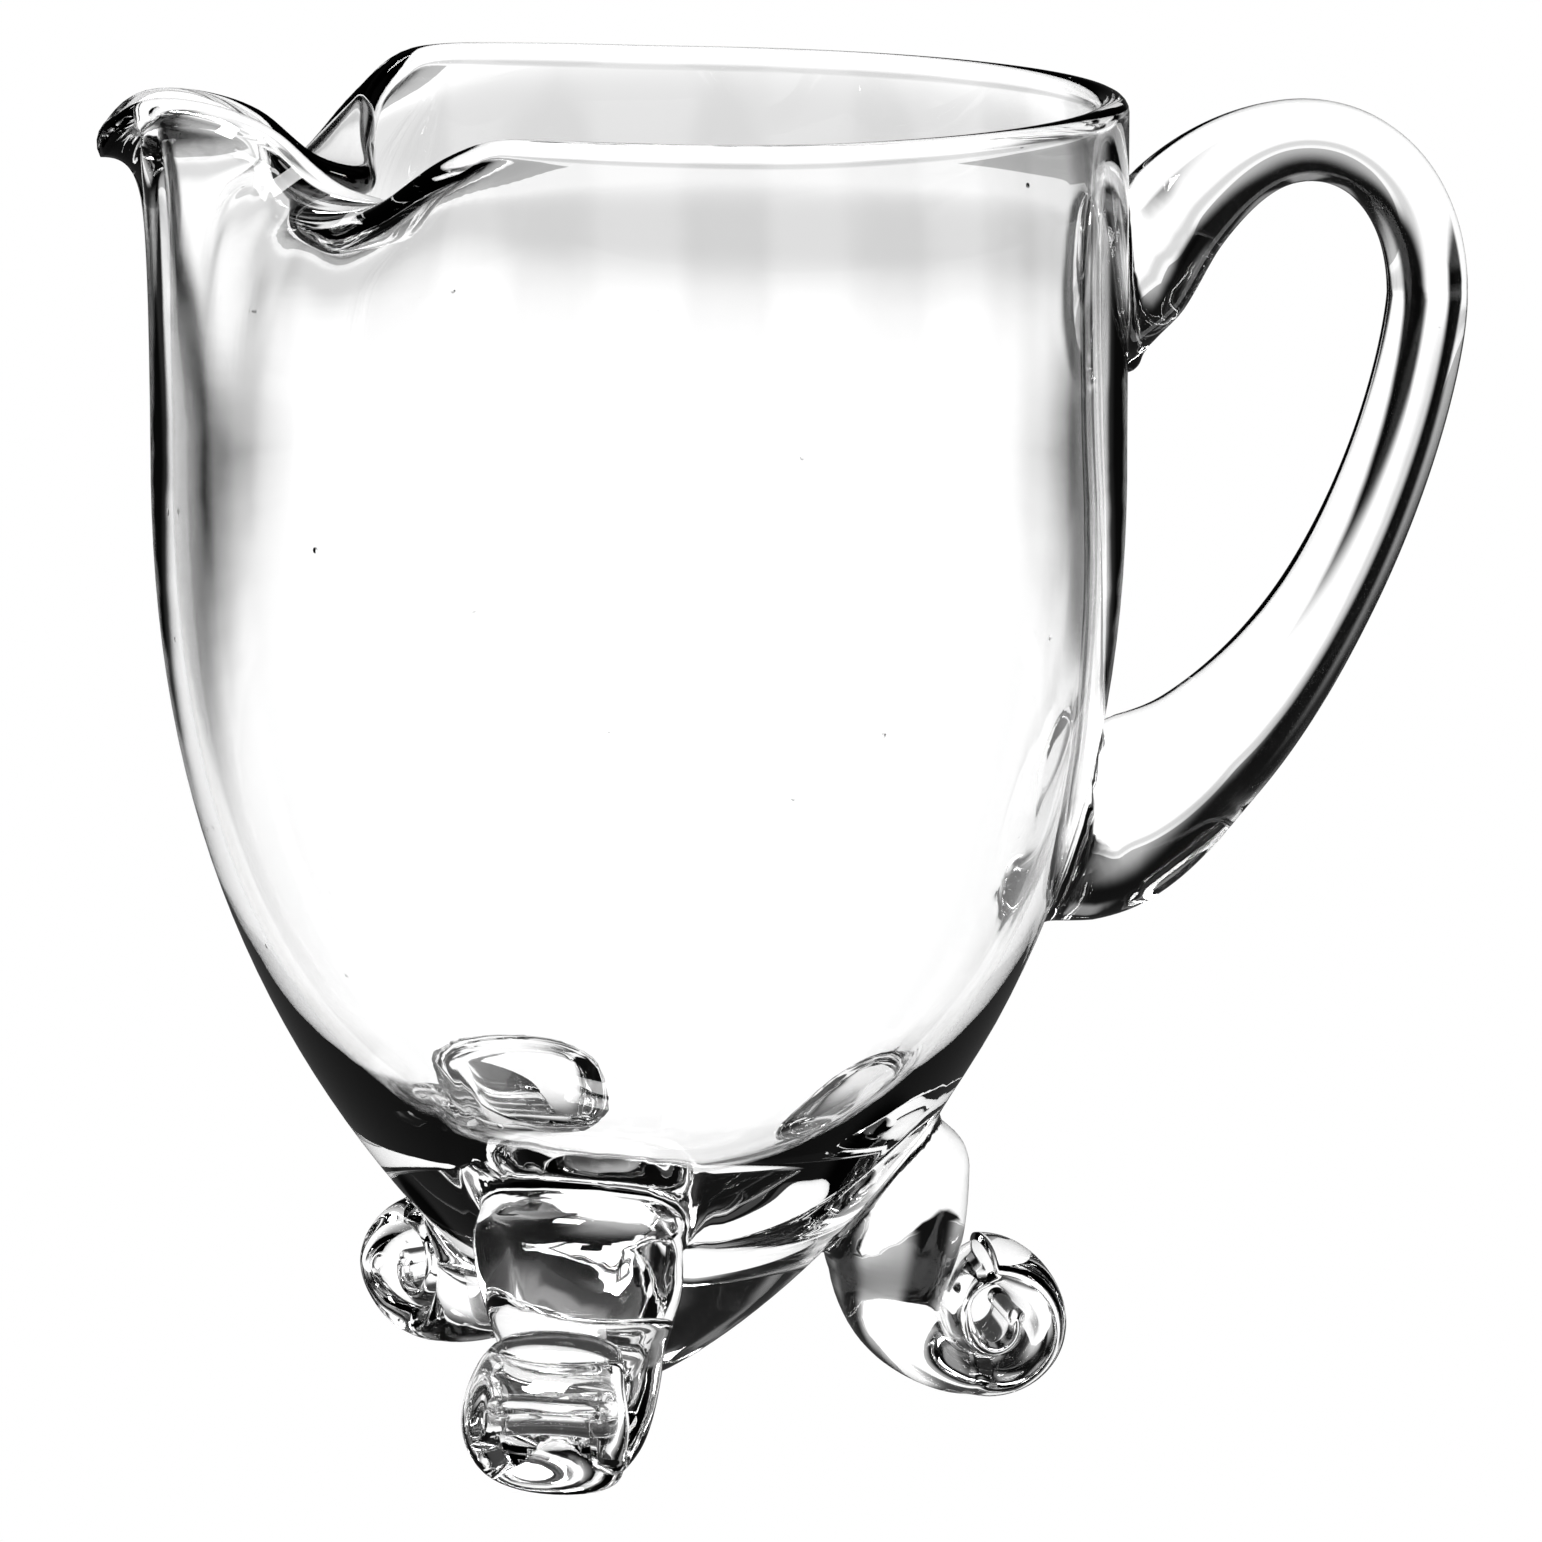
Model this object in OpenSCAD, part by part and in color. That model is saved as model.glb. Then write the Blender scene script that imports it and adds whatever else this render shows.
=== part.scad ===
// Footed glass pitcher: one fused piece of hand-blown glass.
// An egg-shaped body with a thick solid bottom, a rim pinched on both sides into a
// pouring spout, an ear-shaped handle and three feet that curl outward into scrolls.
// The origin is on the body's axis, on the surface that the pitcher stands on.
// +X is the handle's side, -X the spout's side.

/* [Body] */
// Outer diameter of the straight upper wall
body_d = 156; // [146:1:166]
// Height from the table to the top of the rim
pitcher_h = 214; // [208:1:224]
// Height at which the wall starts to draw in
taper_h = 158; // [154:1:162]
// Height of the lowest point of the body above the table
belly_lift = 4.5; // [3.5:0.5:6]
// How long the wall stays full before it draws in
fullness = 2.35; // [2.15:0.1:2.55]
// How pointed the bottom is
pointedness = 0.82; // [0.76:0.02:0.86]
// Thickness of the upper wall
wall = 3.4; // [2.8:0.2:4]
// Thickness of the solid glass at the bottom
base_t = 28; // [26:1:31]

/* [Rim and spout] */
// How much thicker the fire-polished rim is than the wall
rim_bead = 1.6; // [1:0.2:2]
// Distance from the axis to the edge of the pouring lip
spout_reach = 82.5; // [82:0.5:88]
// How far the pouring lip is turned from the handle's plane, in degrees
spout_turn = 4; // [0:1:6]
// Distance from the axis to the two pinched folds
fold_r = 48; // [45:1:52]
// How far the folds dip below the rim
fold_drop = 11; // [8:0.5:13]
// How far the crest of the spout rises above the rim
crest_rise = 1; // [0:0.5:2.5]
// How far the pouring lip droops below the rim
lip_droop = 5.5; // [3.5:0.5:6.5]
// How much thicker the pouring lip is than the wall, as a rounded bead
lip_bead = 4.2; // [3:0.2:4.8]

/* [Handle] */
// Distance from the axis to the middle of the grip
grip_reach = 130; // [126:1:134]
// Diameter of the bar at the grip
bar_d = 13; // [12:0.5:14]
// Height of the upper joint
upper_joint_h = 175; // [172:1:178]
// Height of the grip, where the bar stands upright
grip_h = 179; // [176:1:182]
// Height of the lower joint
lower_joint_h = 92; // [90:1:95]
// Thickness of the handle where it spreads on the body
joint_t = 32; // [29:1:35]
// Width of the handle where it spreads on the body
joint_w = 26; // [22:1:30]

/* [Feet] */
// Angle between the foot under the handle and each of the other two
foot_angle = 113; // [109:1:120]
// How far the three feet are turned together towards the front, in degrees
feet_turn = 1; // [0:1:4]
// Radius of each scroll
scroll_r = 13; // [12.5:0.5:14]
// Distance of a scroll's centre outside the body, measured at the foot's root
foot_out = 16; // [15:0.2:17]
// Height of the root of a foot, where it is welded to the body
root_h = 39; // [37:1:41]
// Width of a foot at its root
root_w = 34.5; // [32:0.5:36]
// Width of the leg just above the scroll
ankle_w = 25; // [23:0.5:27]
// Width of the scroll where it bulges farthest outward
scroll_w = 27; // [25:0.5:28]
// How deep the worn flat spot is under each scroll
flat_depth = 0.25; // [0.15:0.05:0.4]

/* [Hidden] */

body_r = body_d / 2;
rim_h = pitcher_h - (wall + rim_bead) / 2;
cavity_floor = belly_lift + base_t;
cavity_pointedness = 0.5;
lower_rows = 13;
upper_rows = 9;
lip_rows = 4;
cavity_rows = 10;
plain_step = 9;
spout_step = 4.5;
spout_start = 99;
bead_turn = 22;
section_points = 16;
squareness = 2.15;
root_round = 9;

function unit(v) = v / norm(v);
function polar(r, a, z) = [r * cos(a), r * sin(a), z];
function bezier(p, t) =
    p[0] * pow(1 - t, 3) + 3 * p[1] * t * pow(1 - t, 2) + 3 * p[2] * t * t * (1 - t) + p[3] * pow(t, 3);

// Smooth curve through the rows of a table: the value of column c where column 0 is x
function slope(k, i, c) =
    let (a = max(i - 1, 0), b = min(i + 1, len(k) - 1))
    (k[b][c] - k[a][c]) / (k[b][0] - k[a][0]);
function row_of(k, x, i = 0) = i >= len(k) - 2 || x < k[i + 1][0] ? i : row_of(k, x, i + 1);
function smooth(k, x, c) =
    let (i = row_of(k, x), w = k[i + 1][0] - k[i][0], t = (x - k[i][0]) / w)
    k[i][c] * (2 * t * t * t - 3 * t * t + 1) + k[i + 1][c] * (3 * t * t - 2 * t * t * t)
    + w * (slope(k, i, c) * (t * t * t - 2 * t * t + t) + slope(k, i + 1, c) * (t * t * t - t * t));

// A closed skin over a row of rings that all have the same number of points
module skin(rings) {
    n = len(rings[0]);
    last = (len(rings) - 1) * n;
    polyhedron(
        points = [for (ring = rings) for (p = ring) p],
        faces = concat(
            [[for (i = [0:n - 1]) i]],
            [for (j = [0:len(rings) - 2]) for (i = [0:n - 1]) let (a = j * n + i, b = j * n + (i + 1) % n)
                [a, a + n, b + n, b]],
            [[for (i = [n - 1:-1:0]) last + i]]
        )
    );
}

// Radius of the outside and of the cavity below the straight wall
function outer_r(z) =
    body_r * pow(1 - pow((taper_h - z) / (taper_h - belly_lift), fullness), pointedness);
function cavity_r(z) =
    (body_r - wall)
    * pow(1 - pow((taper_h - z) / (taper_h - cavity_floor), fullness), cavity_pointedness);

// One side of the rim, from the handle round to the pouring lip. Columns: angle on the body,
// angle at the rim, distance from the axis, height, share by which the wall under the rim leans
// back towards the body, depth of that lean, and depth to which the wall stays upright.
rim_keys = [
    [0, 0, body_r, rim_h, 0, 18, 36],
    [75, 75, body_r, rim_h, 0, 18, 36],
    [98, 97, body_r, rim_h + 0.8, 0.05, 16, 30],
    [112, 109, body_r, rim_h + 1.2, 0.15, 12, 22],
    [120, 117.5, body_r - 3, rim_h + 0.8, 0.4, 5, 11],
    [126, 125, body_r - 9, rim_h - fold_drop * 0.2, 0.6, 2, 8],
    [132, 134, fold_r + 11, rim_h - fold_drop * 0.7, 0.7, 0.5, 7.5],
    [139, 149.5, fold_r, rim_h - fold_drop, 0.72, 0.5, 8],
    [147, 158, fold_r + 6, rim_h - fold_drop * 0.8, 0.6, 2.5, 10],
    [156, 164.5, fold_r + 13.6, rim_h - fold_drop * 0.15, 0.4, 8, 17],
    [166, 170.5, spout_reach - 12, rim_h + crest_rise, 0.4, 8, 17],
    [173, 175, spout_reach - 3.5, rim_h + crest_rise * 0.4, 0.6, 7, 16],
    [180, 180, spout_reach, rim_h - lip_droop, 0.85, 5, 14]
];

// The spout's turn fades out towards the handle
function side(c) = c > 180 ? 360 - c : c;
function turned(c, a) =
    let (s = side(c), share = s < 60 ? 0 : s > 120 ? 1 : (1 - cos(3 * (s - 60))) / 2)
    (c > 180 ? 360 - a : a) - spout_turn * share;

// A point of the outside above the taper: column c, share u of the way up to the rim
function upper_point(c, u) =
    let (
        s = side(c),
        low = polar(body_r, turned(c, s), taper_h),
        top = polar(smooth(rim_keys, s, 2), turned(c, smooth(rim_keys, s, 1)), smooth(rim_keys, s, 3)),
        lean = smooth(rim_keys, s, 4),
        back = [
            top[0] + lean * (low[0] - top[0]),
            top[1] + lean * (low[1] - top[1]),
            top[2] - smooth(rim_keys, s, 5)
        ],
        upright = [low[0], low[1], rim_h - smooth(rim_keys, s, 6)]
    )
    bezier([low, upright, back, top], u);
function up_at(c, u) = unit(upper_point(c, u + 0.01) - upper_point(c, u - 0.01));
function out_at(c, u) = unit(cross(upper_point(c + 0.5, u) - upper_point(c - 0.5, u), up_at(c, u)));

// Thickness of the wall and how far the pouring lip's bead stands out, at column c and share u
// of the way up; the bead fades out over bead_turn degrees on both sides of the lip's middle
function wall_at(u) = wall + rim_bead * pow(u, 4);
function bead(c, u) =
    lip_bead * pow(max(0, 1 - (180 - side(c)) / bead_turn), 1.5) * pow(u, 7);

module body() {
    half = [
        for (a = [0:plain_step:spout_start - plain_step]) a,
        for (a = [spout_start:spout_step:180]) a
    ];
    columns = concat(half, [for (i = [len(half) - 2:-1:1]) 360 - half[i]]);
    shares = [for (i = [1:upper_rows]) pow(i / upper_rows, 0.85)];
    outside_below = [
        for (i = [1:lower_rows]) let (z = taper_h - (taper_h - belly_lift) * cos(90 * i / lower_rows))
            [for (c = columns) polar(outer_r(z), turned(c, side(c)), z)]
    ];
    outside_above = [for (u = shares) [for (c = columns) upper_point(c, u) + bead(c, u) * out_at(c, u)]];
    lip = [
        for (i = [1:lip_rows]) let (a = 180 * i / (lip_rows + 1))
            [for (c = columns) let (r = (wall_at(1) + bead(c, 1)) / 2)
                upper_point(c, 1) + (r * (cos(a) + 1) - wall_at(1)) * out_at(c, 1) + r * sin(a) * up_at(c, 1)]
    ];
    inside_above = [
        for (i = [upper_rows - 1:-1:0])
            [for (c = columns) upper_point(c, shares[i]) - wall_at(shares[i]) * out_at(c, shares[i])]
    ];
    inside_below = [
        for (i = [cavity_rows:-1:1]) let (z = taper_h - (taper_h - cavity_floor) * cos(90 * i / cavity_rows))
            [for (c = columns) polar(cavity_r(z), turned(c, side(c)), z)]
    ];
    skin(concat(outside_below, outside_above, lip, inside_above, inside_below));
}

// A rounded section between two edge points, seen from +Z or along the bar, of the given width
function bulge(x) = sign(x) * pow(abs(x), 2 / squareness);
function section(a, b, w) =
    let (middle = (a + b) / 2, half = (b - a) / 2)
    [
        for (i = [0:section_points - 1]) let (t = 360 * i / section_points)
            middle + half * bulge(cos(t)) - [0, w / 2 * bulge(sin(t)), 0]
    ];

// The handle's middle line: up and over from the upper joint, then down to the lower one
rise = [
    [body_r - 4.5, 0, upper_joint_h - 5],
    [body_r + 16.5, 0, upper_joint_h + 44.5],
    [grip_reach, 0, grip_h + 30],
    [grip_reach, 0, grip_h]
];
fall = [
    [grip_reach, 0, grip_h],
    [grip_reach, 0, grip_h - 15],
    [grip_reach - 17.5, 0, lower_joint_h + 6.5],
    [outer_r(lower_joint_h) - 6, 0, lower_joint_h - 1]
];
// Columns: share of the way along the line, thickness and width of the bar
rise_keys = [
    [0, bar_d - 4, bar_d - 2],
    [0.03, bar_d + 3, bar_d + 4],
    [0.1, bar_d + 8, bar_d + 6],
    [0.22, bar_d + 5.4, bar_d + 4],
    [0.45, bar_d + 0.6, bar_d + 1],
    [1, bar_d, bar_d]
];
fall_keys = [
    [0, bar_d, bar_d],
    [0.5, bar_d + 2.4, bar_d + 1.5],
    [0.75, bar_d + 9.5, bar_d + 5.5],
    [0.9, joint_t - 0.5, joint_w - 3],
    [1, joint_t - 4, joint_w]
];
function bar_section(line, keys, t) =
    let (
        middle = bezier(line, t),
        along = unit(bezier(line, t + 0.01) - bezier(line, t - 0.01)),
        across = [along[2], 0, -along[0]] * smooth(keys, t, 1) / 2
    )
    section(middle + across, middle - across, smooth(keys, t, 2));

module handle() {
    rise_steps = 12;
    fall_steps = 13;
    pad_r = 10;
    drip_r = 4;
    skin(concat(
        [for (t = [0, rise_keys[1][0]]) bar_section(rise, rise_keys, t)],
        [for (i = [1:rise_steps - 1]) bar_section(rise, rise_keys, i / rise_steps)],
        [for (i = [0:fall_steps]) bar_section(fall, fall_keys, i / fall_steps)]
    ));
    // The upper joint ends in a small drip
    hull() {
        translate([body_r - 1, 0, upper_joint_h + 11])
            scale([0.5, 0.95, 1.3])
                sphere(r = pad_r, $fn = 16);
        translate([body_r + 0.7, 0, upper_joint_h - drip_r])
            sphere(r = drip_r, $fn = 12);
    }
    // The lower joint spreads into a rounded pad
    hull() {
        translate([outer_r(lower_joint_h) - 1, 0, lower_joint_h])
            rotate([0, 16, 0])
                scale([0.45, 0.95, 1])
                    sphere(d = joint_t - 2, $fn = 16);
        translate([outer_r(lower_joint_h) + 4, 0, lower_joint_h + 1])
            sphere(d = joint_w - 3, $fn = 16);
    }
}

// The strip of a scroll in polar form round its centre. Columns: angle from the outward
// direction, distance of the outer edge, distance of the inner edge, and width.
outer_strip = [
    [162, scroll_r + 13.5, 8, ankle_w + 1],
    [180, scroll_r + 9.5, 7.2, ankle_w],
    [216, scroll_r + 3, 6.2, ankle_w - 2],
    [252, scroll_r, 5.4, scroll_w - 7],
    [270, scroll_r, 5.2, scroll_w - 7],
    [306, scroll_r, 5, scroll_w - 3.5],
    [360, scroll_r, 5, scroll_w],
    [414, scroll_r, 5.4, scroll_w - 3],
    [450, scroll_r, 6.4, scroll_w - 6.5]
];
inner_strip = [
    [436, scroll_r - 0.3, 6.2, scroll_w - 6],
    [480, scroll_r - 3.2, 4.6, scroll_w - 8],
    [520, 7.6, 2.6, scroll_w - 8.5],
    [560, 6.4, 2, scroll_w - 8.5],
    [630, 6, 2.4, scroll_w - 8],
    [720, 5.6, 2.6, scroll_w - 8],
    [736, 5.3, 3, scroll_w - 9]
];
// The leg above the scroll. Columns: height of the body-side edge, its place, height and
// place of the outward edge, and width; places are measured from the scroll's centre line.
leg_keys = [
    [root_h, -25, root_h, -2.9, root_w],
    [root_h - 7, -26.5, root_h - 7, -3.2, root_w - 1],
    [root_h - 12.5, -27, root_h - 14, -4.3, (root_w + ankle_w) / 2 + 1]
];
foot_r = outer_r(root_h) + foot_out;
scroll_h = scroll_r - flat_depth;

function strip_section(keys, a) =
    let (way = [cos(a), 0, sin(a)], middle = [foot_r, 0, scroll_h])
    section(middle + smooth(keys, a, 1) * way, middle + smooth(keys, a, 2) * way, smooth(keys, a, 3));

// The top of the root at an angle up its rounding
function root_section(a) =
    let (k = leg_keys[0], middle = foot_r + (k[1] + k[3]) / 2, half = (k[3] - k[1]) / 2 * cos(a))
    section(
        [middle - half, 0, root_h + root_round * sin(a)],
        [middle + half, 0, root_h + root_round * sin(a)],
        k[4] * cos(a)
    );

module strip_part(keys, step, lead = []) {
    skin(concat(lead, [for (a = [keys[0][0]:step:keys[len(keys) - 1][0]]) strip_section(keys, a)]));
}

module foot() {
    outer_step = 18;
    inner_step = 25;
    tip = inner_strip[len(inner_strip) - 1];
    tip_r = (tip[1] + tip[2]) / 2;
    leg = [for (k = leg_keys) section([foot_r + k[1], 0, k[0]], [foot_r + k[3], 0, k[2]], k[4])];
    strip_part(outer_strip, outer_step, leg);
    strip_part(inner_strip, inner_step);
    // The root's top is rounded over
    hull()
        skin([for (a = [0:22:88]) root_section(a)]);
    // The strip's end is pinched off inside the scroll
    hull() {
        for (way = [-1, 1])
            translate([foot_r + tip_r * cos(tip[0]), way * (tip[3] / 2 - 1.5), scroll_h + tip_r * sin(tip[0])])
                sphere(r = 1.5, $fn = 8);
    }
}

// Nothing that is welded on reaches past the middle of the body's wall
module cavity_blank() {
    rows = 12;
    grow = wall / 2;
    rotate_extrude($fn = 64)
        polygon(concat(
            [[0, cavity_floor - grow]],
            [for (i = [0:rows]) let (z = taper_h - (taper_h - cavity_floor) * cos(90 * i / rows))
                [cavity_r(z) + grow, z]],
            [[body_r - grow, pitcher_h], [0, pitcher_h]]
        ));
}

module pitcher() {
    color([0.86, 0.9, 0.92, 0.5])
        difference() {
            union() {
                body();
                difference() {
                    union() {
                        handle();
                        for (a = [-foot_angle, 0, foot_angle])
                            rotate([0, 0, a - feet_turn])
                                foot();
                    }
                    cavity_blank();
                }
            }
            // The flat spots lie on the table
            translate([-pitcher_h, -pitcher_h, -pitcher_h])
                cube([2 * pitcher_h, 2 * pitcher_h, pitcher_h]);
        }
}

pitcher();
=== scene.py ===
import math

import bmesh
import bpy
from mathutils import Matrix, Vector


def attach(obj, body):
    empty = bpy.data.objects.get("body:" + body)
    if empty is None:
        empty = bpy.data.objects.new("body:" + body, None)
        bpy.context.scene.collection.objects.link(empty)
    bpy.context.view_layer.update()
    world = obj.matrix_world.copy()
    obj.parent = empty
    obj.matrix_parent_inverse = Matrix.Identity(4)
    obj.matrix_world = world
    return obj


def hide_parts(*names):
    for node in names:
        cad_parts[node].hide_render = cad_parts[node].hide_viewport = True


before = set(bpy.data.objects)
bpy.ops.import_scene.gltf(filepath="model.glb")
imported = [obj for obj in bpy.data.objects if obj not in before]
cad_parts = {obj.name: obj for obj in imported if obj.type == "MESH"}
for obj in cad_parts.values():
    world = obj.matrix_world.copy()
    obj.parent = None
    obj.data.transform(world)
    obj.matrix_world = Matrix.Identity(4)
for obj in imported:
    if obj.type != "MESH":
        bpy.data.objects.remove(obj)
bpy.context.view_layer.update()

# Camera. A long lens about a metre and a half away, a little left of the pitcher's front
# and ten degrees above the table, with the whole pitcher in the frame.
aim = Vector((0.02064, -0.0042, 0.1049))
view_turn = math.radians(11.5)
view_rise = math.radians(10.22)
distance = 1.546
towards_camera = Vector((
    -math.sin(view_turn) * math.cos(view_rise),
    -math.cos(view_turn) * math.cos(view_rise),
    math.sin(view_rise)
))
lens = bpy.data.cameras.new("camera")
lens.lens = 224.5
lens.sensor_width = 36
lens.clip_start = 0.1
lens.clip_end = 30
camera = bpy.data.objects.new("camera", lens)
camera.location = aim + towards_camera * distance
camera.rotation_euler = (-towards_camera).to_track_quat("-Z", "Y").to_euler()
bpy.context.scene.collection.objects.link(camera)
bpy.context.scene.camera = camera

# Table. A wide sheet that glows plain white where it is seen directly. The glass itself
# sees painted light on it, a studio lit for glass: glowing strips that run out from the
# pitcher, with a near-black glow between them.
table_mesh = bmesh.new()
bmesh.ops.create_grid(table_mesh, x_segments=1, y_segments=1, size=40)
table_data = bpy.data.meshes.new("table")
table_mesh.to_mesh(table_data)
table_mesh.free()
table = bpy.data.objects.new("table", table_data)
bpy.context.scene.collection.objects.link(table)
sheet = bpy.data.materials.new("glowing_strip_sheet")
sheet.use_nodes = True
sheet.node_tree.nodes.clear()
world = bpy.data.worlds.new("studio")
world.use_nodes = True
world.node_tree.nodes.clear()
bpy.context.scene.world = world
strips = 8
strip_half = 0.13
strip_fade = 0.26
# The strength between the strips, and the share of a strip that a mirrored ray sees
dark = 0.003
mirrored = 0.06


def joined(tree, kind, *sources):
    node = tree.nodes.new("ShaderNodeMath")
    node.operation = kind
    for socket, source in zip(node.inputs, sources):
        if isinstance(source, (int, float)):
            socket.default_value = source
        else:
            tree.links.new(source, socket)
    return node.outputs[0]


def faded(tree, source, full, none):
    node = tree.nodes.new("ShaderNodeMapRange")
    node.interpolation_type = "SMOOTHERSTEP"
    tree.links.new(source, node.inputs["Value"])
    node.inputs["From Min"].default_value = min(full, none)
    node.inputs["From Max"].default_value = max(full, none)
    node.inputs["To Min"].default_value = 1 if full < none else 0
    node.inputs["To Max"].default_value = 0 if full < none else 1
    return node.outputs["Result"]


def around(tree, output, turned_by, count):
    # The angle to the nearest of the spokes round the pitcher, the reach and the height
    place = tree.nodes.new("ShaderNodeTexCoord").outputs[output]
    turn = tree.nodes.new("ShaderNodeVectorRotate")
    turn.rotation_type = "Z_AXIS"
    turn.inputs["Angle"].default_value = turned_by
    tree.links.new(place, turn.inputs["Vector"])
    split = tree.nodes.new("ShaderNodeSeparateXYZ")
    tree.links.new(turn.outputs["Vector"], split.inputs["Vector"])
    x, y, z = split.outputs
    angle = joined(tree, "PINGPONG", joined(tree, "ARCTAN2", x, y), math.pi / count)
    squares = [joined(tree, "MULTIPLY", part, part) for part in (x, y)]
    return angle, joined(tree, "SQRT", joined(tree, "ADD", *squares)), z


def plain_to_camera(tree, lit, glow_kind, output_kind):
    # White where it is seen directly; the strips where it is seen through glass
    path = tree.nodes.new("ShaderNodeLightPath").outputs
    through = path["Is Transmission Ray"]
    in_mirror = joined(tree, "MULTIPLY", joined(tree, "SUBTRACT", 1, through), mirrored)
    bright = joined(tree, "MULTIPLY_ADD", lit, joined(tree, "ADD", through, in_mirror), dark)
    glow = tree.nodes.new(glow_kind)
    tree.links.new(joined(tree, "MAXIMUM", path["Is Camera Ray"], bright), glow.inputs["Strength"])
    glow.inputs["Color"].default_value = (1, 1, 1, 1)
    out = tree.nodes.new(output_kind)
    tree.links.new(glow.outputs[0], out.inputs["Surface"])


floor = sheet.node_tree
angle, reach, _ = around(floor, "Object", view_turn, strips)
# The strips keep their width close by and widen farther out
widen_from = 1.1
widen_rate = 1.2
past = joined(floor, "MAXIMUM", joined(floor, "SUBTRACT", reach, widen_from), 0)
widened = joined(floor, "MULTIPLY_ADD", past, widen_rate, 1)
aside = joined(floor, "DIVIDE", joined(floor, "MULTIPLY", reach, joined(floor, "SINE", angle)), widened)
strip = faded(floor, aside, strip_half, strip_fade)
# A dimmer stretch of the strips, painted shade in the table's glow, makes the soft grey below the rim
dim_from, dim_to = 1.2, 2.2
lift_from, lift_to = 2.3, 6.5
dim_share = 0.37
lift_share = 0.7
lift = joined(floor, "MULTIPLY_ADD", faded(floor, reach, lift_to, lift_from), -lift_share, 1)
dip = joined(floor, "MULTIPLY", faded(floor, reach, dim_to, dim_from), lift)
strip = joined(floor, "MULTIPLY", strip, joined(floor, "MULTIPLY_ADD", dip, -dim_share, 1))
# A small soft shadow is painted into the table's glow round each foot
shade_at = 0.068
shade_full, shade_end = 0.02, 0.034
shade_share = 0.95
foot_angle, _, _ = around(floor, "Object", math.radians(90), 3)
beside = joined(floor, "MULTIPLY", reach, joined(floor, "SINE", foot_angle))
along = joined(floor, "MULTIPLY", reach, joined(floor, "COSINE", foot_angle))
along = joined(floor, "SUBTRACT", along, shade_at)
beside = joined(floor, "MULTIPLY", beside, beside)
from_foot = joined(floor, "SQRT", joined(floor, "MULTIPLY_ADD", along, along, beside))
shade = faded(floor, from_foot, shade_full, shade_end)
open_share = joined(floor, "MULTIPLY_ADD", shade, -shade_share, 1)
strip_power = 1.2
lit = joined(floor, "MULTIPLY", joined(floor, "MULTIPLY", strip, open_share), strip_power)
plain_to_camera(floor, lit, "ShaderNodeEmission", "ShaderNodeOutputMaterial")
table_data.materials.append(sheet)

# Light. Above the table the strips go on as tall panels that fade upward into the dark,
# with soft boxes high in front and overhead for the highlights.
sky = world.node_tree
angle, reach, height = around(sky, "Generated", view_turn, strips)
rise = joined(sky, "ARCTAN2", height, reach)
panel_power = 0.55
panel = joined(sky, "MULTIPLY", faded(sky, rise, math.radians(-4), math.radians(18)), panel_power)
# A weaker second row of panels stands higher up
upper_rise = math.radians(42)
upper_power = 0.3
from_upper = joined(sky, "ABSOLUTE", joined(sky, "SUBTRACT", rise, upper_rise))
upper = faded(sky, from_upper, math.radians(6), math.radians(16))
lit = joined(sky, "MULTIPLY_ADD", upper, upper_power, panel)
lit = joined(sky, "MULTIPLY", lit, faded(sky, angle, math.radians(7), math.radians(18)))
plain_to_camera(sky, lit, "ShaderNodeBackground", "ShaderNodeOutputWorld")
bpy.context.scene.view_settings.view_transform = "Standard"
for name, place_at, width, height, power in (
    ("key", (-0.9, -1.1, 1.5), 0.5, 0.5, 30),
    ("fill", (1.3, -0.9, 1.2), 0.3, 0.9, 14),
    ("top", (0.1, 0.5, 1.9), 1.2, 0.5, 18),
):
    lamp = bpy.data.lights.new(name, "AREA")
    lamp.shape = "RECTANGLE"
    lamp.size = width
    lamp.size_y = height
    lamp.energy = power
    box = bpy.data.objects.new(name, lamp)
    box.location = place_at
    box.rotation_euler = (aim - box.location).to_track_quat("-Z", "Y").to_euler()
    bpy.context.scene.collection.objects.link(box)

# Body. One gather of clear glass, blown to an egg shape with a thick solid bottom. The
# wall is a turned profile; the hot rim is then pinched on both sides and pulled out into
# the pouring spout. All sizes of the pitcher are in millimetres until it is finished.
body_r = 78
pitcher_h = 214
taper_h = 158
belly_lift = 4.5
fullness = 2.35
pointedness = 0.82
wall = 3.4
rim_bead = 1.6
rim_h = pitcher_h - (wall + rim_bead) / 2
cavity_floor = belly_lift + 28
cavity_pointedness = 0.5
spout_reach = 82.5
spout_turn = 4
fold_r = 48
fold_drop = 11
lip_bead = 4.2
bead_turn = 22
rim_keys = [
    [0, 0, body_r, rim_h, 0, 18, 36],
    [75, 75, body_r, rim_h, 0, 18, 36],
    [98, 97, body_r, rim_h + 0.8, 0.05, 16, 30],
    [112, 109, body_r, rim_h + 1.2, 0.15, 12, 22],
    [120, 117.5, body_r - 3, rim_h + 0.8, 0.4, 5, 11],
    [126, 125, body_r - 9, rim_h - fold_drop * 0.2, 0.6, 2, 8],
    [132, 134, fold_r + 11, rim_h - fold_drop * 0.7, 0.7, 0.5, 7.5],
    [139, 149.5, fold_r, rim_h - fold_drop, 0.72, 0.5, 8],
    [147, 158, fold_r + 6, rim_h - fold_drop * 0.8, 0.6, 2.5, 10],
    [156, 164.5, fold_r + 13.6, rim_h - fold_drop * 0.15, 0.4, 8, 17],
    [166, 170.5, spout_reach - 12, rim_h + 1, 0.4, 8, 17],
    [173, 175, spout_reach - 3.5, rim_h + 0.4, 0.6, 7, 16],
    [180, 180, spout_reach, rim_h - 5.5, 0.85, 5, 14]
]


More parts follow.
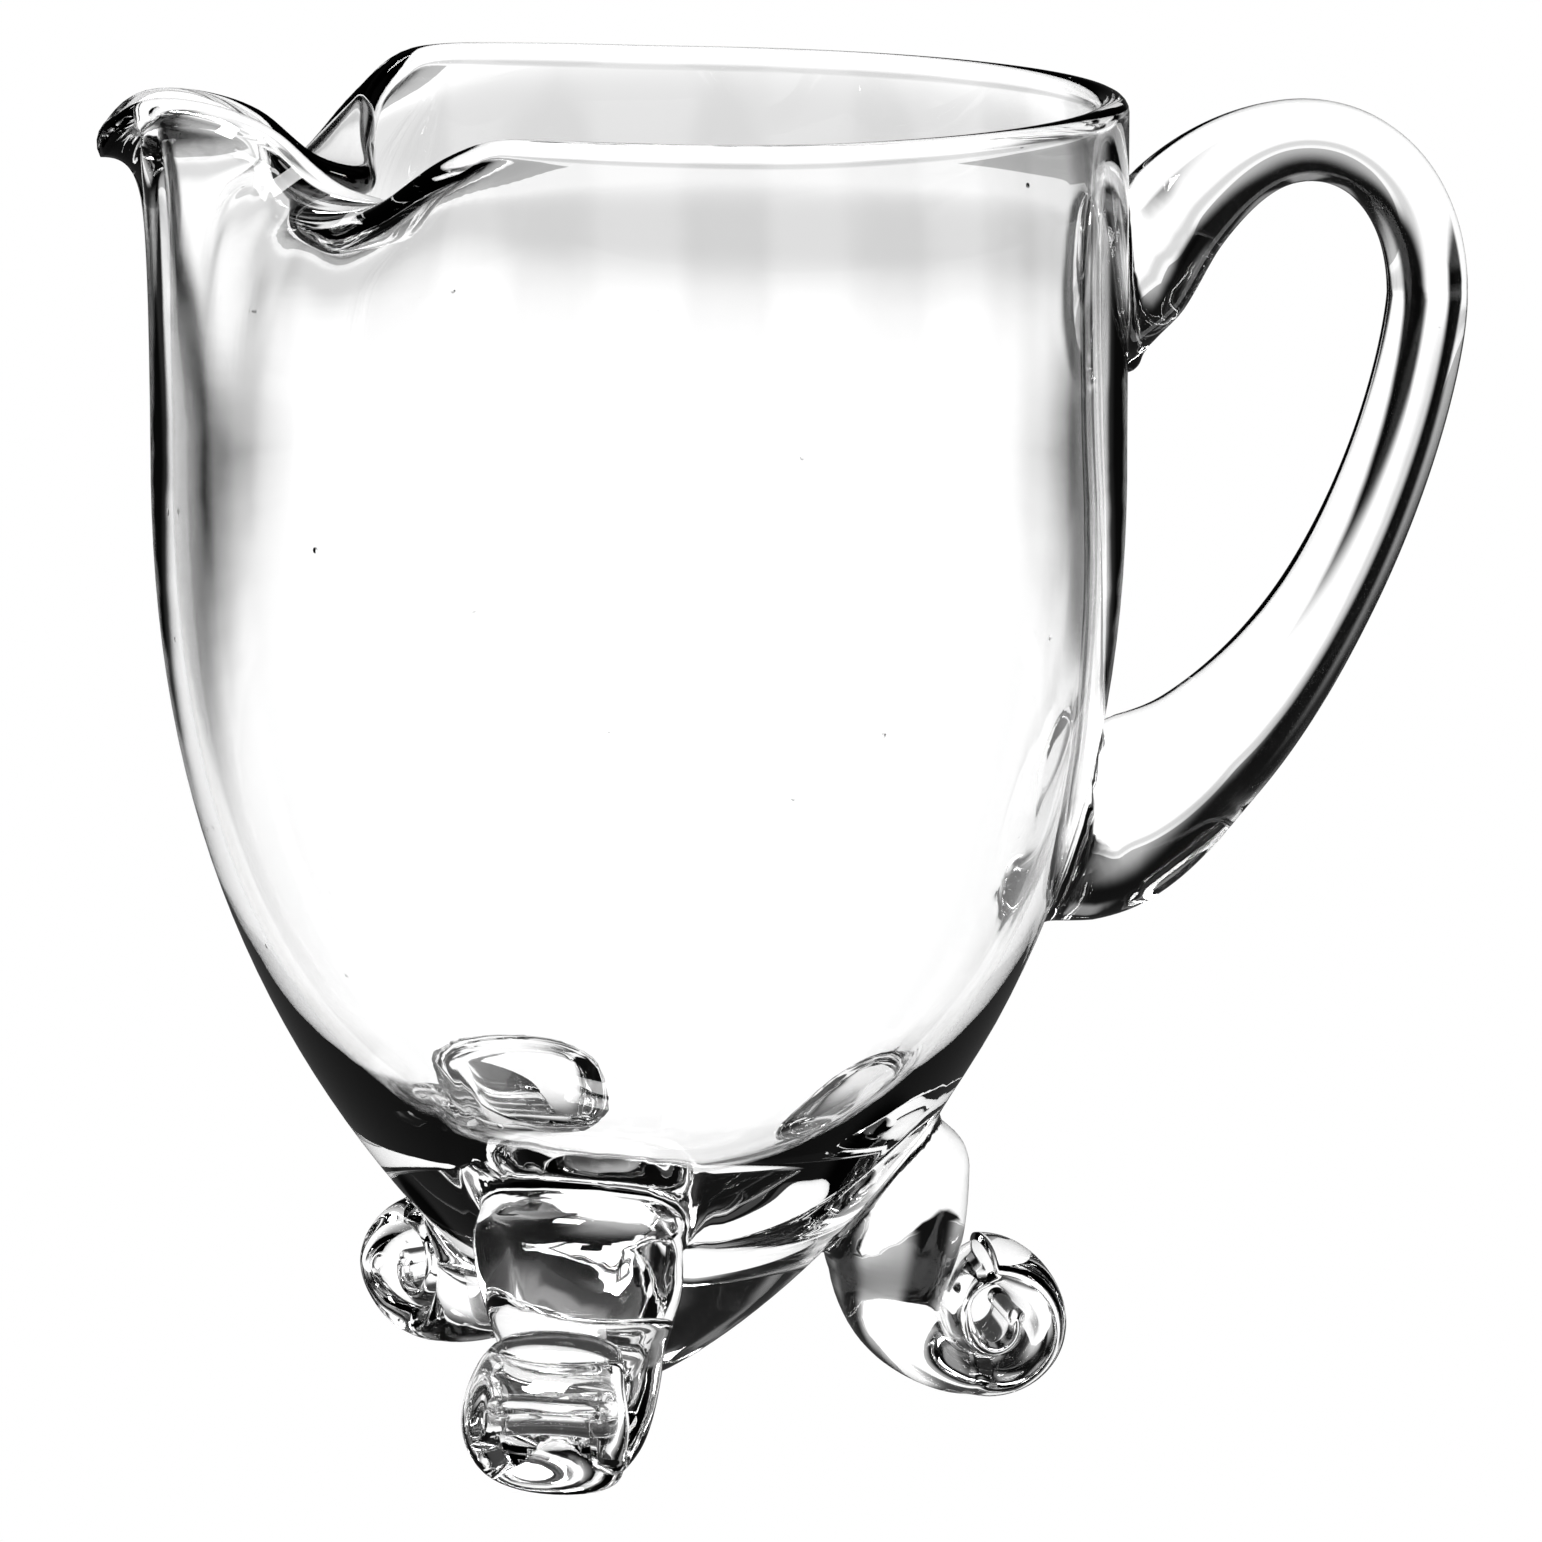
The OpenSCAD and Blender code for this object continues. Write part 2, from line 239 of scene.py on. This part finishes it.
def slope(keys, i):
    low = keys[max(i - 1, 0)]
    high = keys[min(i + 1, len(keys) - 1)]
    return [(b - a) / (high[0] - low[0]) for a, b in zip(low, high)]


def row_at(keys, x):
    i = 0
    while i < len(keys) - 2 and x >= keys[i + 1][0]:
        i += 1
    low, high = keys[i], keys[i + 1]
    width = high[0] - low[0]
    t = (x - low[0]) / width
    start = 2 * t ** 3 - 3 * t ** 2 + 1
    end = 3 * t ** 2 - 2 * t ** 3
    leave = width * (t ** 3 - 2 * t ** 2 + t)
    reach = width * (t ** 3 - t ** 2)
    return [
        a * start + b * end + p * leave + q * reach
        for a, b, p, q in zip(low, high, slope(keys, i), slope(keys, i + 1))
    ]


def polar(r, angle, z):
    return Vector((r * math.cos(math.radians(angle)), r * math.sin(math.radians(angle)), z))


def outer_r(z):
    share = max(0, (taper_h - z) / (taper_h - belly_lift))
    return body_r * max(0, 1 - share ** fullness) ** pointedness


def cavity_r(z):
    share = max(0, (taper_h - z) / (taper_h - cavity_floor))
    return (body_r - wall) * max(0, 1 - share ** fullness) ** cavity_pointedness


def side(column):
    return 360 - column if column > 180 else column


def turned(column, angle):
    s = side(column)
    share = 0 if s < 60 else 1 if s > 120 else (1 - math.cos(math.radians(3 * (s - 60)))) / 2
    return (360 - angle if column > 180 else angle) - spout_turn * share


def rough_stave(column):
    column %= 360
    key = row_at(rim_keys, side(column))
    low = polar(body_r, turned(column, side(column)), taper_h)
    top = polar(key[2], turned(column, key[1]), key[3])
    back = Vector((top.x + key[4] * (low.x - top.x), top.y + key[4] * (low.y - top.y), top.z - key[5]))
    upright = Vector((low.x, low.y, rim_h - key[6]))
    return low, upright, back, top


def stave(column):
    # Evened out with its neighbours, as the skin of hot glass does
    near = [(turn, math.exp(-(turn / 2) ** 2 / 2)) for turn in (-6, -4.5, -3, -1.5, 0, 1.5, 3, 4.5, 6)]
    total = sum(weight for _, weight in near)
    rows = [[point * (weight / total) for point in rough_stave(column + turn)] for turn, weight in near]
    return [sum((row[i] for row in rows), Vector()) for i in range(4)]


def bezier(p, t):
    s = 1 - t
    return p[0] * s ** 3 + p[1] * 3 * t * s ** 2 + p[2] * 3 * t * t * s + p[3] * t ** 3


columns = 280
below_rows = 46
above_rows = 34
lip_rows = 9
straight_h = rim_h - taper_h
profile = [(0, belly_lift)]
for i in range(below_rows - 1, 0, -1):
    z = taper_h - (taper_h - belly_lift) * math.cos(math.pi / 2 * (1 - i / below_rows))
    profile.append((outer_r(z), z))
for i in range(above_rows):
    profile.append((body_r, taper_h + straight_h * (i / above_rows) ** 0.9))
for i in range(lip_rows + 2):
    a = math.pi * i / (lip_rows + 1)
    profile.append((body_r - wall / 2 * (1 - math.cos(a)), rim_h + wall / 2 * math.sin(a)))
for i in range(above_rows - 1, -1, -1):
    profile.append((body_r - wall, taper_h + straight_h * (i / above_rows) ** 0.9))
for i in range(1, below_rows):
    z = taper_h - (taper_h - cavity_floor) * math.cos(math.pi / 2 * (1 - i / below_rows))
    profile.append((cavity_r(z), z))
profile.append((0, cavity_floor))


def turn_on_lathe(outline, steps):
    turned_mesh = bmesh.new()
    points = [turned_mesh.verts.new((r, 0, z)) for r, z in outline]
    edges = [turned_mesh.edges.new(pair) for pair in zip(points, points[1:])]
    bmesh.ops.spin(
        turned_mesh, geom=points + edges, cent=(0, 0, 0), axis=(0, 0, 1),
        angle=2 * math.pi, steps=steps, use_merge=True
    )
    bmesh.ops.remove_doubles(turned_mesh, verts=turned_mesh.verts, dist=1e-4)
    bmesh.ops.recalc_face_normals(turned_mesh, faces=turned_mesh.faces)
    return turned_mesh


body = turn_on_lathe(profile, columns)
staves = {}
for vert in body.verts:
    r = math.hypot(vert.co.x, vert.co.y)
    if vert.co.z < taper_h - 1e-3:
        if r > 1e-3:
            column = math.degrees(math.atan2(vert.co.y, vert.co.x)) % 360
            vert.co = polar(r, turned(column, side(column)), vert.co.z)
        continue
    column = round(math.degrees(math.atan2(vert.co.y, vert.co.x)) % 360, 3)
    if column not in staves:
        staves[column] = [stave(column + turn) for turn in (-0.5, 0, 0.5)]
    before, middle, after = staves[column]
    share = min((vert.co.z - taper_h) / straight_h, 1)
    over = max(vert.co.z - rim_h, 0)
    inward = body_r - r
    up = (bezier(middle, share + 0.01) - bezier(middle, share - 0.01)).normalized()
    outward = (bezier(after, share) - bezier(before, share)).cross(up).normalized()
    bead = lip_bead * max(0, 1 - (180 - side(column)) / bead_turn) ** 1.5 * share ** 7
    inner_bead = rim_bead * share ** 4
    vert.co = (
        bezier(middle, share)
        + outward * (bead * (1 - inward / wall) - inward * (1 + inner_bead / wall))
        + up * over * (1 + (bead + inner_bead) / wall)
    )


def keep(shape, name):
    data = bpy.data.meshes.new(name)
    shape.to_mesh(data)
    shape.free()
    held = bpy.data.objects.new(name, data)
    bpy.context.scene.collection.objects.link(held)
    return held


body = keep(body, "body")

# Handle. A bar of hot glass, pressed onto the shoulder, where it ends in a small drip,
# pulled up and over into an ear and pressed down again as a leaf on the lower wall.
bar_d = 13
grip_reach = 130
grip_h = 179
upper_joint_h = 175
lower_joint_h = 92
joint_t = 32
joint_w = 26
squareness = 2.15
bar_points = 40
rise = [
    Vector((body_r - 4.5, 0, upper_joint_h - 5)),
    Vector((body_r + 16.5, 0, upper_joint_h + 44.5)),
    Vector((grip_reach, 0, grip_h + 30)),
    Vector((grip_reach, 0, grip_h))
]
fall = [
    Vector((grip_reach, 0, grip_h)),
    Vector((grip_reach, 0, grip_h - 15)),
    Vector((grip_reach - 17.5, 0, lower_joint_h + 6.5)),
    Vector((outer_r(lower_joint_h) - 6, 0, lower_joint_h - 1))
]
rise_keys = [
    [0, bar_d - 4, bar_d - 2],
    [0.03, bar_d + 3, bar_d + 4],
    [0.1, bar_d + 8, bar_d + 6],
    [0.22, bar_d + 5.4, bar_d + 4],
    [0.45, bar_d + 0.6, bar_d + 1],
    [1, bar_d, bar_d]
]
fall_keys = [
    [0, bar_d, bar_d],
    [0.5, bar_d + 2.4, bar_d + 1.5],
    [0.75, bar_d + 9.5, bar_d + 5.5],
    [0.9, joint_t - 0.5, joint_w - 3],
    [1, joint_t - 4, joint_w]
]


def section_frame(a, b, width):
    half = (b - a) / 2
    way = half.cross(Vector((0, 1, 0))).normalized()
    middle = (a + b) / 2
    return Matrix((
        (half.x, 0, way.x, middle.x),
        (0, width / 2, 0, 0),
        (half.z, 0, way.z, middle.z),
        (0, 0, 0, 1)
    ))


def draw_bar(sections, turn=0):
    bar = bmesh.new()
    bmesh.ops.create_circle(bar, cap_ends=True, segments=bar_points, radius=1)
    for vert in bar.verts:
        for axis in (0, 1):
            vert.co[axis] = math.copysign(abs(vert.co[axis]) ** (2 / squareness), vert.co[axis])
    last = section_frame(*sections[0])
    bmesh.ops.transform(bar, matrix=last, verts=bar.verts)
    end = list(bar.faces)
    for section in sections[1:]:
        covered = end if len(bar.faces) > 1 else []
        grown = bmesh.ops.extrude_face_region(bar, geom=end)["geom"]
        bmesh.ops.delete(bar, geom=covered, context="FACES_ONLY")
        end = [item for item in grown if isinstance(item, bmesh.types.BMFace)]
        there = section_frame(*section)
        bmesh.ops.transform(
            bar, matrix=there @ last.inverted(),
            verts=[item for item in grown if isinstance(item, bmesh.types.BMVert)]
        )
        last = there
    bmesh.ops.recalc_face_normals(bar, faces=bar.faces)
    upright_turn = Matrix.Rotation(math.radians(turn), 3, "Z")
    bmesh.ops.rotate(bar, cent=(0, 0, 0), matrix=upright_turn, verts=bar.verts)
    return bar


def bar_sections(line, keys, shares):
    for t in shares:
        key = row_at(keys, t)
        along = (bezier(line, t + 0.01) - bezier(line, t - 0.01)).normalized()
        across = Vector((along.z, 0, -along.x)) * key[1] / 2
        yield bezier(line, t) + across, bezier(line, t) - across, key[2]


def wrapped(balls, turn=0):
    lump = bmesh.new()
    for centre, sizes, tilt in balls:
        spot = (
            Matrix.Translation(centre)
            @ Matrix.Rotation(math.radians(tilt), 4, "Y")
            @ Matrix.Diagonal((*sizes, 1))
        )
        bmesh.ops.create_icosphere(lump, subdivisions=4, radius=1, matrix=spot)
    bmesh.ops.delete(lump, geom=lump.edges[:] + lump.faces[:], context="EDGES_FACES")
    bmesh.ops.convex_hull(lump, input=lump.verts)
    bmesh.ops.delete(lump, geom=[vert for vert in lump.verts if not vert.link_faces], context="VERTS")
    bmesh.ops.recalc_face_normals(lump, faces=lump.faces)
    upright_turn = Matrix.Rotation(math.radians(turn), 3, "Z")
    bmesh.ops.rotate(lump, cent=(0, 0, 0), matrix=upright_turn, verts=lump.verts)
    return lump


rise_shares = [0, 0.03] + [i / 80 for i in range(4, 80)]
fall_shares = [i / 120 for i in range(121)]
handle = keep(draw_bar(
    list(bar_sections(rise, rise_keys, rise_shares)) + list(bar_sections(fall, fall_keys, fall_shares))
), "handle")
# Each joint is a skin drawn over round lumps, given by centre, half sizes and tilt
leaf_t = joint_t - 2
leaf_at = outer_r(lower_joint_h)
welded = [
    keep(wrapped([
        ((body_r - 1, 0, upper_joint_h + 11), (5, 9.5, 13), 0),
        ((body_r + 0.7, 0, upper_joint_h - 4), (4, 4, 4), 0)
    ]), "drip"),
    keep(wrapped([
        ((leaf_at - 1, 0, lower_joint_h), (0.225 * leaf_t, 0.475 * leaf_t, leaf_t / 2), 16),
        ((leaf_at + 4, 0, lower_joint_h + 1), (joint_w / 2 - 1.5,) * 3, 0)
    ]), "leaf")
]

# Feet. Three straps of hot glass, each pressed onto the body near its bottom, drawn down
# and curled outward into a scroll, so that the pitcher stands on the backs of the curls.
scroll_r = 13
scroll_h = scroll_r - 0.25
root_h = 39
root_w = 34.5
root_round = 9
ankle_w = 25
scroll_w = 27
foot_r = outer_r(root_h) + 16
foot_turns = [-114, -1, 112]
outer_strip = [
    [162, scroll_r + 13.5, 8, ankle_w + 1],
    [180, scroll_r + 9.5, 7.2, ankle_w],
    [216, scroll_r + 3, 6.2, ankle_w - 2],
    [252, scroll_r, 5.4, scroll_w - 7],
    [270, scroll_r, 5.2, scroll_w - 7],
    [306, scroll_r, 5, scroll_w - 3.5],
    [360, scroll_r, 5, scroll_w],
    [414, scroll_r, 5.4, scroll_w - 3],
    [450, scroll_r, 6.4, scroll_w - 6.5]
]
inner_strip = [
    [436, scroll_r - 0.3, 6.2, scroll_w - 6],
    [480, scroll_r - 3.2, 4.6, scroll_w - 8],
    [520, 7.6, 2.6, scroll_w - 8.5],
    [560, 6.4, 2, scroll_w - 8.5],
    [630, 6, 2.4, scroll_w - 8],
    [720, 5.6, 2.6, scroll_w - 8],
    [736, 5.3, 3, scroll_w - 9]
]
leg_keys = [
    [root_h, -25, root_h, -2.9, root_w],
    [root_h - 7, -26.5, root_h - 7, -3.2, root_w - 1],
    [root_h - 12.5, -27, root_h - 14, -4.3, (root_w + ankle_w) / 2 + 1]
]


def strip_section(keys, angle):
    key = row_at(keys, angle)
    way = Vector((math.cos(math.radians(angle)), 0, math.sin(math.radians(angle))))
    centre = Vector((foot_r, 0, scroll_h))
    return centre + way * key[1], centre + way * key[2], key[3]


def root_section(angle):
    high, low, _, out_at, width = leg_keys[0]
    shrink = math.cos(math.radians(angle))
    middle = foot_r + (low + out_at) / 2
    half = (out_at - low) / 2 * shrink
    z = root_h + root_round * math.sin(math.radians(angle))
    return Vector((middle - half, 0, z)), Vector((middle + half, 0, z)), width * shrink


def finer(sections, steps):
    # A smooth run through the given sections, each a pair of edge points and a width
    rows = [[a.x, a.z, b.x, b.z, w] for a, b, w in sections]
    for i in range(len(rows) - 1):
        p, q, r, s = (rows[min(max(i + k, 0), len(rows) - 1)] for k in (-1, 0, 1, 2))
        for j in range(steps):
            t = j / steps
            ax, az, bx, bz, w = (
                f + (g - e) / 2 * t
                + (e - 2.5 * f + 2 * g - h / 2) * t ** 2
                + (1.5 * (f - g) + (h - e) / 2) * t ** 3
                for e, f, g, h in zip(p, q, r, s)
            )
            yield Vector((ax, 0, az)), Vector((bx, 0, bz)), w


leg_steps = 6
leg = [(Vector((foot_r + a, 0, z)), Vector((foot_r + b, 0, y)), w) for z, a, y, b, w in leg_keys]
leg_ends = [strip_section(outer_strip, a) for a in (162, 180)]
leg_run = list(finer(leg + leg_ends, leg_steps))[:leg_steps * len(leg)]
root_run = [root_section(a) for a in range(88, 0, -8)]
outer_run = [strip_section(outer_strip, a) for a in range(162, 451, 4)]
inner_run = [strip_section(inner_strip, a) for a in range(436, 737, 5)]
tip_angle, tip_outer, tip_inner, tip_w = inner_strip[-1]
tip_at = polar((tip_outer + tip_inner) / 2, tip_angle, 0)
bead_r = 1.5
for turn in foot_turns:
    welded += [
        keep(draw_bar(root_run + leg_run + outer_run, turn), "foot_strap"),
        keep(draw_bar(inner_run, turn), "foot_curl"),
        keep(wrapped([
            ((foot_r + tip_at.x, way * (tip_w / 2 - bead_r), scroll_h + tip_at.y), (bead_r,) * 3, 0)
            for way in (-1, 1)
        ], turn), "foot_tip")
    ]

# Fusing. The welded parts stop inside the body's wall, and the whole pitcher becomes one
# closed skin of glass with no faces inside.
grow = wall / 2
over_rim = pitcher_h + 20
core = [(0, cavity_floor - grow)]
for i in range(below_rows - 1, 0, -1):
    z = taper_h - (taper_h - cavity_floor) * math.cos(math.pi / 2 * (1 - i / below_rows))
    core.append((cavity_r(z) + grow, z))
core += [(body_r - grow, taper_h), (body_r - grow, over_rim), (0, over_rim)]
blank = keep(turn_on_lathe(core, 120), "blank")


def fuse(base, others, operation):
    for other in others:
        join = base.modifiers.new(other.name, "BOOLEAN")
        join.operation = operation
        join.object = other
        join.solver = "MANIFOLD"


fuse(handle, welded, "UNION")
fuse(handle, [blank], "DIFFERENCE")
fuse(body, [handle], "UNION")
fused = body.evaluated_get(bpy.context.evaluated_depsgraph_get())
glass_skin = bpy.data.meshes.new_from_object(fused)
for spare in [body, handle, blank] + welded:
    bpy.data.objects.remove(spare)

pitcher_mesh = bmesh.new()
pitcher_mesh.from_mesh(glass_skin)
cut = bmesh.ops.bisect_plane(
    pitcher_mesh, geom=pitcher_mesh.verts[:] + pitcher_mesh.edges[:] + pitcher_mesh.faces[:],
    plane_co=(0, 0, 0), plane_no=(0, 0, -1), clear_outer=True
)
rims = [item for item in cut["geom_cut"] if isinstance(item, bmesh.types.BMEdge)]
if rims:
    bmesh.ops.contextual_create(pitcher_mesh, geom=rims)
odd_faces = [face for face in pitcher_mesh.faces if len(face.verts) > 4]
bmesh.ops.triangulate(pitcher_mesh, faces=odd_faces)

# The hot glass has flowed together at every weld: the creases on the body's wall are
# smoothed, most of all in the crease itself and less with every ring of points from it
crease = math.radians(24)
weld_reach = 4
weld_top = 196
weld_rings = 5
weld_passes = 4


def from_wall(point):
    return abs(math.hypot(point.x, point.y) - outer_r(point.z))


def weld_line():
    closed = [edge for edge in pitcher_mesh.edges if edge.is_manifold]
    sharp = [edge for edge in closed if edge.calc_face_angle() > crease]
    return {
        vert for edge in sharp for vert in edge.verts
        if belly_lift < vert.co.z < weld_top and from_wall(vert.co) < weld_reach
    }


def in_order(verts):
    return [vert for vert in pitcher_mesh.verts if vert in verts]


bmesh.ops.remove_doubles(pitcher_mesh, verts=in_order(weld_line()), dist=0.2)
welds = [weld_line()]
for _ in range(weld_rings):
    inner = welds[-1]
    welds.append(inner | {edge.other_vert(vert) for vert in inner for edge in vert.link_edges})
for weld in reversed(welds):
    for _ in range(weld_passes):
        bmesh.ops.smooth_vert(
            pitcher_mesh, verts=in_order(weld), factor=0.5,
            use_axis_x=True, use_axis_y=True, use_axis_z=True
        )
bmesh.ops.scale(pitcher_mesh, vec=(0.001, 0.001, 0.001), verts=pitcher_mesh.verts)
for face in pitcher_mesh.faces:
    face.smooth = True
pitcher_mesh.to_mesh(glass_skin)
pitcher_mesh.free()
glass_skin.name = "pitcher_glass"
pitcher_glass = bpy.data.objects.new("pitcher_glass", glass_skin)
bpy.context.scene.collection.objects.link(pitcher_glass)

glass = bpy.data.materials.new("clear_glass")
glass.use_nodes = True
nodes = glass.node_tree.nodes
links = glass.node_tree.links
shader = nodes["Principled BSDF"]
shader.inputs["Base Color"].default_value = (1, 1, 1, 1)
shader.inputs["Roughness"].default_value = 0
shader.inputs["IOR"].default_value = 1.5
shader.inputs["Transmission Weight"].default_value = 1
# Blown glass is never quite even: long soft ripples run round it and a few tiny bubbles,
# the seeds, sit in its skin
ripples_per_metre = (14, 14, 90)
ripple_depth = 0.00006
seeds_per_metre = 55
seed_share = 0.035
seed_depth = 0.0002
place = nodes.new("ShaderNodeTexCoord").outputs["Object"]
stretch = nodes.new("ShaderNodeMapping")
stretch.inputs["Scale"].default_value = ripples_per_metre
links.new(place, stretch.inputs["Vector"])
ripple = nodes.new("ShaderNodeTexNoise")
ripple.inputs["Scale"].default_value = 1
ripple.inputs["Detail"].default_value = 1
links.new(stretch.outputs["Vector"], ripple.inputs["Vector"])
relief = nodes.new("ShaderNodeBump")
relief.inputs["Strength"].default_value = 1
relief.inputs["Distance"].default_value = ripple_depth
links.new(ripple.outputs[0], relief.inputs["Height"])
seeds = nodes.new("ShaderNodeTexVoronoi")
seeds.inputs["Scale"].default_value = seeds_per_metre
links.new(place, seeds.inputs["Vector"])
seed_height = nodes.new("ShaderNodeMapRange")
seed_height.interpolation_type = "SMOOTHSTEP"
links.new(seeds.outputs["Distance"], seed_height.inputs["Value"])
seed_height.inputs["From Max"].default_value = seed_share
seed_height.inputs["To Min"].default_value = 1
seed_height.inputs["To Max"].default_value = 0
seed_relief = nodes.new("ShaderNodeBump")
seed_relief.inputs["Distance"].default_value = seed_depth
links.new(seed_height.outputs["Result"], seed_relief.inputs["Height"])
links.new(relief.outputs["Normal"], seed_relief.inputs["Normal"])
links.new(seed_relief.outputs["Normal"], shader.inputs["Normal"])
glass_skin.materials.clear()
glass_skin.materials.append(glass)
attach(pitcher_glass, "root")
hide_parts("pitcher")
